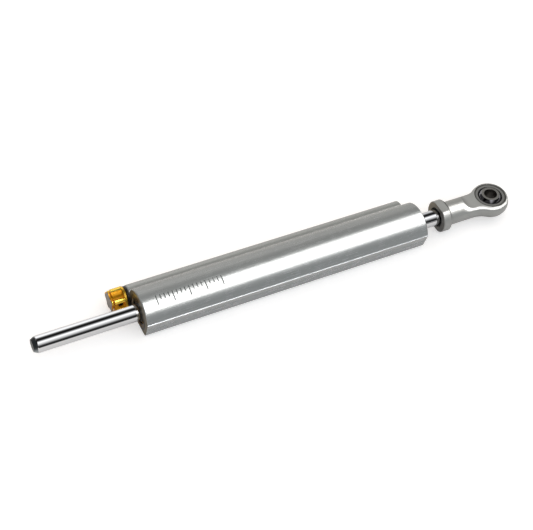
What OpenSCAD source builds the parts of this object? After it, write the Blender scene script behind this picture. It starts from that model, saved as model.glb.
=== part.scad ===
// Steering damper for a motorcycle: a through-rod cylinder with a side tube
// that holds the adjuster at one end and a compensating reservoir at the other.
// Millimetres. X runs along the rod towards the rod end, Z is up, and the origin
// is on the flat underside, below the rod's axis, halfway along the body.

/* [Body] */
// Length of the body
body_len = 182.4; // [170:0.1:220]
// Radius of the round barrel
barrel_r = 14.5; // [14:0.1:16]
// Sideways offset of the barrel's centre from the rod's axis
barrel_off_y = -0.8; // [-1:0.1:0]
// Vertical offset of the barrel's centre from the rod's axis
barrel_off_z = -0.6; // [-0.8:0.1:0]
// Height of the rod's axis above the flat underside
axis_h = 9.6; // [9.4:0.1:11]
// Bore that the piston runs in, diameter
bore_d = 15; // [14.6:0.1:15.2]
// Angle of the front edge above the barrel's centre
edge_angle = 18; // [12:1:24]
// Lean of the flat facet below the front edge
facet_lean = 15; // [8:1:20]
// Rounding between the facet and the underside
corner_r = 3; // [1:0.5:4]
// Chamfer at both ends of the barrel
end_chamfer = 0.6; // [0.3:0.1:1]
// Diameter of the side tube
side_d = 12.5; // [12.2:0.1:14]
// Distance from the rod's axis to the side tube's axis
side_y = 16.4; // [15.8:0.1:18]
// How much shorter the side tube is at the rod end
side_short = 1.5; // [0.5:0.1:4]
// Bore of the side tube, diameter
side_bore_d = 8; // [7.4:0.1:8.4]

/* [Rod and piston] */
// Diameter of the piston rod
rod_d = 10; // [9.6:0.1:10.2]
// Rod standing out of the body at the adjuster end, at rest
rod_out = 62.4; // [58:0.1:80]
// Length of the chamfer on the free tip of the rod
tip_chamfer = 2.6; // [1:0.1:4]
// Length of the piston
piston_len = 14; // [12:0.5:18]
// Full stroke of the rod
stroke = 68; // [50:1:70]
// Stroke left towards the adjuster end, at rest
rest_to_stop = 13; // [8:0.5:14]
// Diameter of the threaded stud on the rod
stud_d = 7.9; // [7:0.1:8.2]
// Length of the threaded stud on the rod
stud_len = 17; // [12:0.5:20]
// Width of the piston's guide band
band_w = 4; // [3:0.1:6]
// Thickness of the snap rings beside the piston
ring_t = 1; // [0.8:0.05:1.2]

/* [Seal heads] */
// Length of each seal head behind its snap ring
head_len = 20.4; // [20:0.1:24]
// Thickness of the seal head's flange
flange_t = 2.4; // [2:0.1:3]
// Diameter of the seal head's flange
flange_d = 16.6; // [16.2:0.1:16.8]
// Thickness of the snap ring in the end of the body
snap_t = 1; // [0.8:0.05:1.2]
// Depth of the snap ring's groove into the wall
snap_depth = 0.45; // [0.3:0.05:0.5]
// Thickness of the wiper
wiper_t = 2.7; // [2.2:0.1:2.8]
// Length of the rod seal
seal_t = 3.3; // [2.8:0.1:3.6]
// Length of the rod's plain bush
bush_len = 9.9; // [6:0.1:12]
// Wall of the rod's plain bush
bush_wall = 1.15; // [0.9:0.05:1.2]
// Section diameter of the seal head's ring seal
head_ring_d = 1; // [0.8:0.05:1.1]
// Wall of the stop sleeves
sleeve_wall = 1.15; // [0.9:0.05:1.2]

/* [Rod end] */
// Gap between the body and the rod end's collar, at rest
collar_gap = 14.8; // [14.6:0.1:24]
// Length of the collar
collar_len = 6; // [4:0.1:9]
// Diameter of the collar
collar_d = 19.7; // [18.4:0.1:22]
// Distance across the collar's two wrench flats
collar_flats = 17; // [16:0.1:18]
// Diameter of the recess around the rod in the collar's face
collar_recess_d = 12.4; // [11.4:0.1:14]
// Diameter of the shank
shank_d = 14.8; // [14:0.1:16]
// Distance from the collar's face to the centre of the eye
eye_reach = 38.6; // [36:0.1:46]
// Outer diameter of the eye
eye_d = 24; // [23.4:0.1:28]
// Thickness of the eye
eye_t = 9; // [8.4:0.1:10]
// Radius of the hollows where the shank widens into the eye
neck_r = 12; // [8:0.5:16]
// Radius of the scoops that thin the shank down to the eye
scoop_r = 7.5; // [4:0.5:10]
// Outer diameter of the race
race_d = 20; // [19.4:0.1:20.4]
// Height of the race
race_t = 8.2; // [7.6:0.1:8.3]
// Diameter of the race's mouth around the ball
race_mouth_d = 15.4; // [15:0.1:16]
// Diameter of the ball
ball_d = 15.9; // [15.6:0.1:16.2]
// Width of the ball across its two flat faces
ball_w = 11.4; // [10:0.1:12]
// Diameter of the bolt hole in the ball
bolt_d = 8; // [6:0.1:8.6]
// Thickness of the slippery liner in the race
liner_t = 0.3; // [0.2:0.05:0.4]

/* [Adjuster] */
// Diameter of the knob
knob_d = 14; // [13.4:0.1:16]
// Length of the knob
knob_len = 9.7; // [9:0.1:14]
// Number of flutes round the knob
flutes = 5; // [3:1:6]
// Radius of each flute
flute_r = 4; // [2.6:0.1:4.4]
// Depth of each flute
flute_depth = 2.2; // [0.6:0.1:2.4]
// Diameter of the gland's flange
gland_flange_d = 12; // [11:0.1:12.4]
// Thickness of the gland's flange
gland_flange_t = 1.4; // [1.2:0.1:3]
// Diameter of the gland's screwed body
gland_d = 9.9; // [9.6:0.1:10.2]
// Length of the gland's screwed body
gland_len = 12; // [11.6:0.1:14]
// Diameter of the spindle
spindle_d = 4; // [3.6:0.1:4.2]
// Diameter of the needle's guide part
needle_d = 5.8; // [5.4:0.1:6]
// Length of the needle's guide part
needle_len = 9.1; // [7:0.1:9.4]
// Length of the needle's slim neck
needle_neck = 4.9; // [3:0.1:6]
// Length of the needle's tapered tip
needle_tip = 5; // [3:0.1:5.4]
// Distance from the start of the tip to the seat
seat_lead = 3.5; // [2.8:0.1:4.4]
// Length of the valve seat
seat_len = 6; // [5:0.1:8]
// Diameter of the seat's orifice
orifice_d = 2.6; // [2.2:0.1:3]
// Diameter of the knob's grub screw
grub_d = 3; // [2:0.1:3.2]
// Diameter of the click ball
click_d = 1.5; // [1.2:0.1:1.6]
// Diameter of the cross ports
port_d = 2.4; // [1.6:0.1:2.6]
// Diameter of the plugs that close the cross drillings
port_plug_d = 3.8; // [3:0.1:4.2]

/* [Reservoir] */
// Diameter of the screwed part of the reservoir plug
plug_d = 9.9; // [9.4:0.1:10.2]
// Length of the screwed part of the reservoir plug
plug_len = 7.7; // [6:0.1:10]
// Distance across the flats of the plug's hex socket
socket_flats = 4; // [3:0.5:5]
// Length of the compensating piston
comp_len = 7; // [5:0.5:8]
// Room between the compensating piston and its port, at rest
comp_room = 6.4; // [4.4:0.1:8]
// Wire of the compensator's spring
comp_wire_d = 0.7; // [0.4:0.05:0.9]
// Coils of the compensator's spring
comp_coils = 8; // [4:1:10]
// Depth of the reservoir's bore beyond the centre of its port
port_margin = 3.3; // [2.4:0.1:5]
// Distance from the chamber back to the centre of the reservoir's port
port_back = 5.8; // [4:0.1:8]

/* [Hidden] */
$fn = 96;
// Radial gap of a running fit
run_gap = 0.05;
// Radial gap of a piece that stays still in its seat
fit_gap = 0.03;
// End gap of a piece that stays still in its seat
end_gap = 0.05;
// Gap between the piston and a stop sleeve when the stroke ends
stop_gap = 0.2;
// Amount by which cutting shapes pass the surface that they cut
over = 1;
half_len = body_len / 2;
rod_r = rod_d / 2;
bore_r = bore_d / 2;
side_r = side_d / 2;
side_z = side_r;
side_bore_r = side_bore_d / 2;
arc_y = barrel_off_y;
arc_z = axis_h + barrel_off_z;
edge_y = arc_y - barrel_r * cos(edge_angle);
edge_z = arc_z + barrel_r * sin(edge_angle);
facet_foot_y = edge_y + edge_z * tan(facet_lean);
corner_y = facet_foot_y + corner_r * (1 - sin(facet_lean)) / cos(facet_lean);
profile_top = arc_z + barrel_r + over;
profile_top_y = edge_y - (profile_top - edge_z) * tan(facet_lean);
// Seal head, measured inwards from the end of the body
snap_x = 0.5;
head_x = snap_x + snap_t + 2 * end_gap;
head_end = head_x + head_len;
barrel_x = head_x + flange_t;
counterbore_r = flange_d / 2 + fit_gap;
snap_r = counterbore_r + snap_depth;
head_r = bore_r - fit_gap;
head_bore_r = rod_r + 0.4;
wiper_r = rod_r + 2;
wiper_x = head_x + wiper_t + end_gap;
seal_r = rod_r + 1.6;
seal_x = wiper_x + 1.6;
seal_end = seal_x + seal_t + 2 * end_gap;
bush_r = rod_r + run_gap + bush_wall;
bush_x = head_end - bush_len - end_gap;
head_ring_r = bore_r - head_ring_d / 2 - fit_gap;
ring_groove_x = seal_end + 0.35;
ring_groove_w = head_ring_d + 0.5;
// Chamber and piston
chamber = stroke + piston_len + 2 * stop_gap;
sleeve_end = half_len - chamber / 2;
sleeve_r = bore_r - 0.1;
piston_x = rest_to_stop - stroke / 2;
piston_r = bore_r - 0.2;
band_r = bore_r - run_gap;
band_t = 0.6;
expander_d = 0.9;
expander_r = band_r - band_t - fit_gap - expander_d / 2;
band_floor = expander_r - expander_d / 2 - fit_gap;
bore_ring_d = 0.76;
bore_ring_r = rod_r + fit_gap + bore_ring_d / 2;
bore_ring_x = piston_len / 2 - 2.4;
rod_groove_r = rod_r - 0.6;
snap_outer_r = rod_r + 1.1;
// Rod end
collar_x = half_len + collar_gap;
recess_depth = 1.6;
eye_x = collar_x + eye_reach;
eye_r = eye_d / 2;
shank_r = shank_d / 2;
neck_y = shank_r + neck_r;
neck_x = eye_x - sqrt(pow(neck_r + eye_r, 2) - pow(neck_y, 2));
scoop_x = neck_x - 0.8;
stud_x = collar_x + recess_depth;
socket_end = stud_x + stud_len + 1;
ball_r = ball_d / 2;
liner_r = ball_r + 0.06 + liner_t;
race_r = race_d / 2;
mouth_z = race_t / 2 - 1;
// Adjuster, measured from the end face of the body, positive inwards
knob_gap = 0.3;
knob_x = -gland_flange_t - knob_gap;
knob_end_x = knob_x - knob_len;
knob_r = knob_d / 2;
spindle_r = spindle_d / 2;
gland_r = gland_d / 2;
gland_bore_r = spindle_r + run_gap;
gland_land = 4.6;
spindle_collar_r = 3;
spindle_collar_t = 1.75;
recess_r = spindle_collar_r + run_gap + 0.05;
clip_x = gland_land + spindle_collar_t + 0.1;
clip_t = 0.5;
nose_r = 1.2;
nose_end = gland_len + 0.4;
needle_travel = 0.63;
needle_x = clip_x + clip_t + needle_travel + 0.3;
needle_r = needle_d / 2;
needle_neck_r = 1.5;
needle_shoulder = needle_x + needle_len;
tip_x = needle_shoulder + needle_neck;
tip_end = tip_x + needle_tip;
tip_end_r = 0.4;
key_x = needle_x + 2.4;
key_r = 0.7;
seat_x = tip_x + seat_lead;
seat_end = seat_x + seat_len;
seat_ring_d = 0.86;
seat_ring_r = side_bore_r - fit_gap - seat_ring_d / 2;
seat_ring_x = seat_x + seat_len / 2;
gallery_r = 2;
port_in = seat_x - port_d / 2 - 0.1;
click_r = click_d / 2;
click_at = 3.3;
click_x = -gland_flange_t + 0.15;
click_hole = gland_flange_t + gland_land - 0.6;
gland_ring_d = 0.8;
gland_ring_r = gland_r - gland_ring_d / 2;
gland_ring_x = 1.4;
spindle_ring_d = 0.7;
spindle_ring_r = gland_bore_r - fit_gap - spindle_ring_d / 2;
spindle_ring_x = 2;
grub_angle = 180;
grub_x = knob_x - 4;
// Reservoir, measured inwards from the rod end of the side tube
side_end = half_len - side_short;
port_r = port_d / 2;
port_out = sleeve_end - side_short - port_back;
reservoir_len = port_out + port_margin;
plug_x = 0.3;
plug_seat = plug_x + plug_len;
plug_r = plug_d / 2;
plug_nose = plug_seat + 2.3;
plug_ring_d = 0.86;
plug_ring_r = side_bore_r - fit_gap - plug_ring_d / 2;
spring_x = plug_nose + end_gap;
comp_x = port_out - port_r - comp_room - comp_len;
comp_spring_len = comp_x - end_gap - spring_x;
comp_r = side_bore_r - run_gap;
comp_ring_d = 0.86;
comp_ring_r = side_bore_r - fit_gap - comp_ring_d / 2;
port_plug_r = port_plug_d / 2;
port_plug_y = side_y + side_bore_r + 0.05;

// Places children along X from one end of the rod's bore, +X inwards
module at_adjuster_end() {
    translate([-half_len, 0, axis_h]) children();
}
module at_rod_end() {
    translate([half_len, 0, axis_h]) mirror([1, 0, 0]) children();
}
// The same for the side tube
module at_adjuster() {
    translate([-half_len, side_y, side_z]) children();
}
module at_reservoir() {
    translate([side_end, side_y, side_z]) mirror([1, 0, 0]) children();
}
// A cylinder along X
module rod_x(r, x0, x1) {
    translate([x0, 0, 0]) rotate([0, 90, 0]) cylinder(r = r, h = x1 - x0);
}
// A cone along X
module cone_x(r0, r1, x0, x1) {
    translate([x0, 0, 0]) rotate([0, 90, 0]) cylinder(r1 = r0, r2 = r1, h = x1 - x0);
}
// A tube along X
module tube_x(r_out, r_in, x0, x1) {
    difference() {
        rod_x(r_out, x0, x1);
        rod_x(r_in, x0 - over, x1 + over);
    }
}
// A round part about X from points that hold radius and place along X
module turned(points) {
    rotate([0, 90, 0]) rotate_extrude() polygon(points);
}
// A ring seal about X
module ring_seal(r, d, x) {
    translate([x, 0, 0]) rotate([0, 90, 0]) rotate_extrude() translate([r, 0]) circle(r = d / 2, $fn = 32);
}
// A snap ring about X with its opening towards the top
module snap_ring(r_out, r_in, x0, t, gap) {
    difference() {
        tube_x(r_out, r_in, x0, x0 + t);
        translate([x0 - over, -gap / 2, 0]) cube([t + 2 * over, gap, r_out + over]);
    }
}

// Outline of the extruded body, seen along X
module barrel_outline() {
    intersection() {
        translate([arc_y, arc_z]) circle(r = barrel_r);
        union() {
            polygon([[corner_y, 0], [side_y, 0], [side_y, profile_top], [profile_top_y, profile_top],
                [corner_y - corner_r * cos(facet_lean), corner_r * (1 - sin(facet_lean))],
                [corner_y, corner_r]]);
            translate([corner_y, corner_r]) circle(r = corner_r);
        }
    }
}
module damper_body() {
    color([0.72, 0.72, 0.71]) difference() {
        union() {
            intersection() {
                translate([-half_len, 0, 0]) rotate([90, 0, 90]) linear_extrude(body_len) barrel_outline();
                translate([0, arc_y, arc_z]) turned([[0, -half_len], [barrel_r - end_chamfer, -half_len],
                    [barrel_r, -half_len + end_chamfer], [barrel_r, half_len - end_chamfer],
                    [barrel_r - end_chamfer, half_len], [0, half_len]]);
            }
            translate([-half_len, side_y, side_z])
                turned([[0, 0], [side_r - end_chamfer, 0], [side_r, end_chamfer],
                    [side_r, half_len + side_end - end_chamfer],
                    [side_r - end_chamfer, half_len + side_end], [0, half_len + side_end]]);
            translate([-half_len + end_chamfer, 0, 0])
                cube([half_len + side_end - 2 * end_chamfer, side_y, side_z]);
        }
        translate([0, 0, axis_h]) rod_x(bore_r, -half_len - over, half_len + over);
        at_adjuster_end() head_pocket();
        at_rod_end() head_pocket();
        at_adjuster() {
            rod_x(gland_r + fit_gap, -over, gland_len + end_gap);
            rod_x(side_bore_r, 0, seat_end + end_gap);
            rod_x(gallery_r, 0, half_len + side_end - reservoir_len + over);
            cross_drilling(port_in);
        }
        at_reservoir() {
            rod_x(plug_r + fit_gap, -over, plug_seat + end_gap);
            rod_x(side_bore_r, 0, reservoir_len);
            cross_drilling(port_out);
        }
    }
}
// Counterbore and snap ring groove for a seal head
module head_pocket() {
    rod_x(counterbore_r, -over, barrel_x + end_gap);
    rod_x(snap_r, snap_x, head_x);
    cone_x(counterbore_r + 0.35 + over, counterbore_r, -over, 0.35);
}
// Port from the side bore into the rod's bore, with the mouth for its plug
module cross_drilling(x) {
    translate([x, -side_y, 0]) rotate([-90, 0, 0]) cylinder(r = port_r, h = side_y + side_r - 0.5);
    translate([x, side_bore_r, 0]) rotate([-90, 0, 0]) cylinder(r = port_plug_r + fit_gap, h = side_r);
}
module port_plug(x) {
    intersection() {
        translate([x, side_bore_r + end_gap, 0]) rotate([-90, 0, 0]) cylinder(r = port_plug_r, h = side_r);
        rod_x(side_r - 0.15, x - port_plug_d, x + port_plug_d);
    }
}
module port_plugs() {
    color([0.45, 0.45, 0.46]) {
        at_adjuster() port_plug(port_in);
        at_reservoir() port_plug(port_out);
    }
}

module seal_head() {
    color([0.72, 0.55, 0.28]) turned([[wiper_r, head_x], [flange_d / 2, head_x], [flange_d / 2, barrel_x],
        [head_r, barrel_x], [head_r, ring_groove_x], [head_ring_r - head_ring_d / 2 - fit_gap, ring_groove_x],
        [head_ring_r - head_ring_d / 2 - fit_gap, ring_groove_x + ring_groove_w],
        [head_r, ring_groove_x + ring_groove_w], [head_r, head_end], [bush_r + fit_gap, head_end],
        [bush_r + fit_gap, bush_x - end_gap], [head_bore_r, bush_x - end_gap], [head_bore_r, seal_end],
        [seal_r + fit_gap, seal_end], [seal_r + fit_gap, seal_x], [head_bore_r, seal_x],
        [head_bore_r, wiper_x], [wiper_r, wiper_x]]);
}
module seal_head_adjuster_end() {
    at_adjuster_end() seal_head();
}
module seal_head_rod_end() {
    at_rod_end() seal_head();
}
module wiper() {
    lip_x = 0.4;
    color([0.10, 0.10, 0.11]) turned([[rod_r + run_gap, lip_x], [rod_r + 0.7, lip_x], [rod_r + 1, head_x],
        [wiper_r - fit_gap, head_x + 0.3], [wiper_r - fit_gap, wiper_x - end_gap],
        [rod_r + 0.6, wiper_x - end_gap], [rod_r + 0.5, head_x + 1], [rod_r + run_gap, head_x + 0.2]]);
}
module wiper_adjuster_end() {
    at_adjuster_end() wiper();
}
module wiper_rod_end() {
    at_rod_end() wiper();
}
module rod_seal() {
    color([0.16, 0.22, 0.30]) turned([[rod_r + run_gap, seal_x + end_gap], [seal_r, seal_x + end_gap],
        [seal_r, seal_end - end_gap], [seal_r - 0.5, seal_end - end_gap],
        [(seal_r + rod_r) / 2, seal_x + seal_t / 2], [rod_r + 0.5, seal_end - end_gap],
        [rod_r + run_gap, seal_end - end_gap]]);
}
module rod_seal_adjuster_end() {
    at_adjuster_end() rod_seal();
}
module rod_seal_rod_end() {
    at_rod_end() rod_seal();
}
module rod_bush() {
    color([0.62, 0.46, 0.30]) tube_x(bush_r, rod_r + run_gap, bush_x, head_end - end_gap);
}
module rod_bush_adjuster_end() {
    at_adjuster_end() rod_bush();
}
module rod_bush_rod_end() {
    at_rod_end() rod_bush();
}
module head_ring_seal() {
    color([0.08, 0.08, 0.09]) ring_seal(head_ring_r, head_ring_d, ring_groove_x + ring_groove_w / 2);
}
module head_ring_seal_adjuster_end() {
    at_adjuster_end() head_ring_seal();
}
module head_ring_seal_rod_end() {
    at_rod_end() head_ring_seal();
}
module head_snap_ring() {
    color([0.55, 0.50, 0.42])
        snap_ring(snap_r - fit_gap, counterbore_r - 0.8, snap_x + end_gap, snap_t, 3);
}
module head_snap_ring_adjuster_end() {
    at_adjuster_end() head_snap_ring();
}
module head_snap_ring_rod_end() {
    at_rod_end() head_snap_ring();
}
// A sleeve that stops the piston and lets oil past to its port
module stop_sleeve(port_x) {
    color([0.60, 0.61, 0.62]) difference() {
        tube_x(sleeve_r, sleeve_r - sleeve_wall, head_end + end_gap, sleeve_end);
        translate([port_x, 0, side_z - axis_h]) rotate([-90, 0, 0]) cylinder(r = port_r, h = bore_d);
    }
}
module stop_sleeve_adjuster_end() {
    at_adjuster_end() stop_sleeve(port_in);
}
module stop_sleeve_rod_end() {
    at_rod_end() stop_sleeve(port_out + side_short);
}

module piston() {
    h = piston_len / 2;
    g = band_w / 2 + end_gap;
    color([0.80, 0.78, 0.72]) translate([piston_x, 0, axis_h]) turned([[rod_r + run_gap, -h],
        [piston_r - 0.5, -h], [piston_r, -h + 0.5], [piston_r, -g], [band_floor, -g], [band_floor, g],
        [piston_r, g], [piston_r, h - 0.5], [piston_r - 0.5, h], [rod_r + run_gap, h],
        [rod_r + run_gap, bore_ring_x + 0.6], [bore_ring_r + bore_ring_d / 2 + fit_gap, bore_ring_x + 0.6],
        [bore_ring_r + bore_ring_d / 2 + fit_gap, bore_ring_x - 0.6], [rod_r + run_gap, bore_ring_x - 0.6]]);
}
module piston_band() {
    color([0.25, 0.30, 0.28]) translate([piston_x, 0, axis_h])
        tube_x(band_r, band_r - band_t, -band_w / 2, band_w / 2);
}
module piston_band_expander() {
    color([0.08, 0.08, 0.09]) translate([piston_x, 0, axis_h]) ring_seal(expander_r, expander_d, 0);
}
module piston_bore_ring_seal() {
    color([0.08, 0.08, 0.09]) translate([piston_x, 0, axis_h])
        ring_seal(bore_ring_r + 0.02, bore_ring_d, bore_ring_x);
}
module piston_rod() {
    h = piston_len / 2;
    groove_w = ring_t + 2 * end_gap;
    tip_r = rod_r - tip_chamfer / 2;
    tip_x = -half_len - rod_out;
    stud_r = stud_d / 2;
    stud_end = stud_x + stud_len;
    color([0.85, 0.86, 0.88]) translate([0, 0, axis_h]) turned([[0, tip_x], [tip_r, tip_x],
        [rod_r, tip_x + tip_chamfer], [rod_r, piston_x - h - groove_w], [rod_groove_r, piston_x - h - groove_w],
        [rod_groove_r, piston_x - h], [rod_r, piston_x - h], [rod_r, piston_x + h],
        [rod_groove_r, piston_x + h], [rod_groove_r, piston_x + h + groove_w],
        [rod_r, piston_x + h + groove_w], [rod_r, stud_x], [stud_r, stud_x], [stud_r, stud_end - 1],
        [stud_r - 0.8, stud_end], [0, stud_end]]);
}
module piston_snap_rings() {
    h = piston_len / 2;
    color([0.30, 0.30, 0.32]) translate([0, 0, axis_h]) for (side = [-1, 1]) {
        translate([piston_x + side * (h + end_gap + ring_t / 2), 0, 0])
            snap_ring(snap_outer_r, rod_groove_r + fit_gap, -ring_t / 2, ring_t, 3);
    }
}

// Outline of the shank seen from the side, thinned by a scoop above and below
module shank_side() {
    difference() {
        translate([collar_x + collar_len - over, -shank_r]) square([eye_x - collar_x - collar_len + over, shank_d]);
        for (side = [-1, 1]) {
            translate([scoop_x, side * (eye_t / 2 + scoop_r)]) circle(r = scoop_r);
            translate([scoop_x, side * eye_t / 2 - (side < 0 ? shank_d : 0)]) square([eye_reach, shank_d]);
        }
    }
}
module shank() {
    intersection() {
        rod_x(shank_r, collar_x + collar_len - over, eye_x);
        rotate([90, 0, 0]) translate([0, 0, -shank_r - over]) linear_extrude(shank_d + 2 * over) shank_side();
    }
}
// The eye's ring, with the same round section as the shank
module eye_ring() {
    translate([eye_x, 0, 0]) rotate_extrude() intersection() {
        translate([eye_r - shank_r, 0]) circle(r = shank_r);
        translate([0, -eye_t / 2]) square([eye_r + over, eye_t]);
    }
}
// One side of the neck, hollowed so that the shank runs smoothly into the eye
module neck_side() {
    intersection() {
        translate([0, 0, -eye_t / 2]) linear_extrude(eye_t)
            polygon([[neck_x, 0], [neck_x, neck_y], [eye_x, 0]]);
        translate([neck_x, neck_y, 0]) rotate_extrude() union() {
            translate([neck_r + shank_r, 0]) circle(r = shank_r);
            translate([neck_r + shank_r, -shank_r]) square([neck_y + eye_r, shank_d]);
        }
    }
}
module collar() {
    bevel = 1;
    difference() {
        translate([collar_x, 0, 0]) turned([[0, 0], [collar_d / 2 - 0.5, 0], [collar_d / 2, 0.5],
            [collar_d / 2, collar_len - bevel], [collar_d / 2 - bevel, collar_len], [0, collar_len]]);
        for (side = [-1, 1]) {
            translate([collar_x - over, -collar_d / 2 - over, side * collar_flats / 2 - (side < 0 ? collar_d : 0)])
                cube([collar_len + 2 * over, collar_d + 2 * over, collar_d]);
        }
    }
}
module rod_end_housing() {
    color([0.70, 0.70, 0.69]) translate([0, 0, axis_h]) difference() {
        union() {
            collar();
            shank();
            eye_ring();
            neck_side();
            mirror([0, 1, 0]) neck_side();
        }
        rod_x(collar_recess_d / 2, collar_x - over, stud_x);
        rod_x(stud_d / 2 + fit_gap, stud_x - over, socket_end);
        translate([eye_x, 0, -eye_t]) cylinder(r = race_r + fit_gap, h = 2 * eye_t);
    }
}
module rod_end_race() {
    color([0.62, 0.62, 0.63]) translate([eye_x, 0, axis_h]) difference() {
        translate([0, 0, -race_t / 2]) cylinder(r = race_r, h = race_t);
        sphere(r = liner_r + fit_gap);
        mouth_in = sqrt(pow(liner_r + fit_gap, 2) - pow(mouth_z, 2));
        for (side = [0, 1]) {
            mirror([0, 0, side]) translate([0, 0, mouth_z])
                cylinder(r1 = mouth_in, r2 = race_mouth_d / 2, h = race_t / 2 - mouth_z);
            mirror([0, 0, side]) translate([0, 0, race_t / 2 - 0.01]) cylinder(r = race_mouth_d / 2, h = over);
        }
    }
}
module rod_end_liner() {
    color([0.12, 0.12, 0.13]) translate([eye_x, 0, axis_h]) intersection() {
        difference() {
            sphere(r = liner_r);
            sphere(r = liner_r - liner_t);
        }
        translate([0, 0, -mouth_z]) cylinder(r = race_r, h = 2 * mouth_z);
    }
}
module rod_end_ball() {
    mouth = 0.25;
    color([0.30, 0.30, 0.32]) translate([eye_x, 0, axis_h]) difference() {
        intersection() {
            sphere(r = ball_r);
            translate([0, 0, -ball_w / 2]) cylinder(r = ball_r + over, h = ball_w);
        }
        translate([0, 0, -ball_w]) cylinder(r = bolt_d / 2, h = 2 * ball_w);
        for (side = [0, 1]) {
            mirror([0, 0, side]) translate([0, 0, ball_w / 2 - mouth])
                cylinder(r1 = bolt_d / 2, r2 = bolt_d / 2 + mouth + over, h = mouth + over);
        }
    }
}

// Gland that closes the side tube and carries the spindle
module adjuster_gland() {
    slot_w = 2 * key_r + 0.1;
    slot_x = key_x - key_r - needle_travel - 0.15;
    color([0.09, 0.09, 0.10]) at_adjuster() difference() {
        union() {
            turned([[0, -gland_flange_t], [gland_flange_d / 2 - 0.3, -gland_flange_t],
                [gland_flange_d / 2, -gland_flange_t + 0.3], [gland_flange_d / 2, -end_gap],
                [gland_r - 0.4, -end_gap], [gland_r - 0.4, 0], [0, 0]]);
            rod_x(gland_r - 0.4, -over, 0.5);
            rod_x(gland_r, 0.5, gland_len);
        }
        rod_x(gland_bore_r, -gland_flange_t - over, gland_len + over);
        rod_x(recess_r, gland_land, gland_len + over);
        rod_x(recess_r + 0.4, clip_x - end_gap, clip_x + clip_t + end_gap);
        tube_x(gland_r + over, gland_ring_r - gland_ring_d / 2 - fit_gap,
            gland_ring_x - 0.55, gland_ring_x + 0.55);
        translate([0, 0, click_at]) rod_x(click_r + fit_gap, -gland_flange_t - over, -gland_flange_t + click_hole);
        for (side = [-1, 1]) {
            translate([slot_x, -slot_w / 2, side * recess_r - (side < 0 ? gland_r - 1 : 1)])
                cube([gland_len, slot_w, gland_r]);
        }
    }
}
module gland_ring_seal() {
    color([0.05, 0.05, 0.06]) at_adjuster() ring_seal(gland_ring_r, gland_ring_d, gland_ring_x);
}
module adjuster_spindle() {
    color([0.60, 0.60, 0.62]) at_adjuster() difference() {
        union() {
            rod_x(spindle_r, knob_end_x + 1.6, gland_land + end_gap);
            rod_x(spindle_collar_r, gland_land + end_gap, gland_land + spindle_collar_t);
            rod_x(nose_r, gland_land, nose_end);
        }
        tube_x(spindle_r + over, spindle_ring_r - spindle_ring_d / 2 - fit_gap,
            spindle_ring_x - 0.5, spindle_ring_x + 0.5);
    }
}
module spindle_ring_seal() {
    color([0.05, 0.05, 0.06]) at_adjuster() ring_seal(spindle_ring_r, spindle_ring_d, spindle_ring_x);
}
module spindle_snap_ring() {
    color([0.50, 0.50, 0.52]) at_adjuster() snap_ring(recess_r + 0.4 - fit_gap, recess_r - 0.9, clip_x, clip_t, 1.6);
}
module adjuster_knob() {
    flange = 1.5;
    disc = 0.9;
    groove = 0.9;
    neck = knob_r - flute_depth - 0.6;
    flute_at = knob_r + flute_r - flute_depth;
    color([0.85, 0.55, 0.10]) at_adjuster() difference() {
        turned([[0, knob_end_x], [knob_r - 0.9, knob_end_x], [knob_r - 0.4, knob_end_x + 0.5],
            [knob_r - 0.4, knob_end_x + disc], [neck, knob_end_x + disc], [neck, knob_end_x + disc + groove],
            [knob_r - 0.2, knob_end_x + disc + groove], [knob_r, knob_end_x + disc + groove + 0.2],
            [knob_r, knob_x - flange], [knob_r - 0.6, knob_x - flange], [knob_r - 0.6, knob_x - 0.3],
            [knob_r - 0.9, knob_x], [0, knob_x]]);
        for (i = [0:flutes - 1]) {
            rotate([grub_angle + i * 360 / flutes, 0, 0]) translate([0, flute_at, 0])
                rod_x(flute_r, knob_end_x - over, knob_x - flange);
        }
        rod_x(spindle_r + fit_gap, knob_end_x + 1.5, knob_x + over);
        rotate([grub_angle, 0, 0]) translate([grub_x, 0, 0]) rotate([-90, 0, 0])
            cylinder(r = grub_d / 2 + fit_gap, h = knob_d);
        turned([[click_at - click_r - 0.1, knob_x + over], [click_at - click_r - 0.1, knob_x - 0.4],
            [click_at + click_r + 0.1, knob_x - 0.4], [click_at + click_r + 0.1, knob_x + over]]);
    }
}
module knob_grub_screw() {
    top = knob_r - flute_depth - 0.5;
    color([0.12, 0.12, 0.13]) at_adjuster() rotate([grub_angle, 0, 0]) translate([grub_x, 0, 0])
        rotate([-90, 0, 0]) difference() {
            translate([0, 0, spindle_r + 0.02]) cylinder(r = grub_d / 2, h = top - spindle_r - 0.02);
            translate([0, 0, top - 1.2]) cylinder(r = grub_d / 4, h = 2, $fn = 6);
        }
}
module click_ball() {
    color([0.80, 0.80, 0.82]) at_adjuster() translate([click_x, 0, click_at]) sphere(r = click_r, $fn = 48);
}
module click_spring() {
    back_x = -gland_flange_t + click_hole - end_gap;
    color([0.55, 0.55, 0.57]) at_adjuster() translate([0, 0, click_at])
        coil(click_r - 0.2, 0.3, click_x + click_r + end_gap, back_x, 6);
}
module needle_valve() {
    color([0.66, 0.58, 0.36]) at_adjuster() difference() {
        union() {
            rod_x(needle_r, needle_x, needle_shoulder);
            rod_x(needle_neck_r, needle_x, tip_x);
            cone_x(needle_neck_r, tip_end_r, tip_x, tip_end);
        }
        rod_x(nose_r + run_gap, needle_x - over, nose_end + 1.6);
        for (side = [0, 1]) {
            mirror([0, 0, side]) translate([key_x, 0, nose_r + 0.6]) cylinder(r = key_r + 0.02, h = needle_d);
        }
    }
}
module needle_key_pins() {
    color([0.50, 0.50, 0.52]) at_adjuster() for (side = [0, 1]) {
        mirror([0, 0, side]) translate([key_x, 0, nose_r + 0.65])
            cylinder(r = key_r, h = gland_r - nose_r - 1.1);
    }
}
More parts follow.
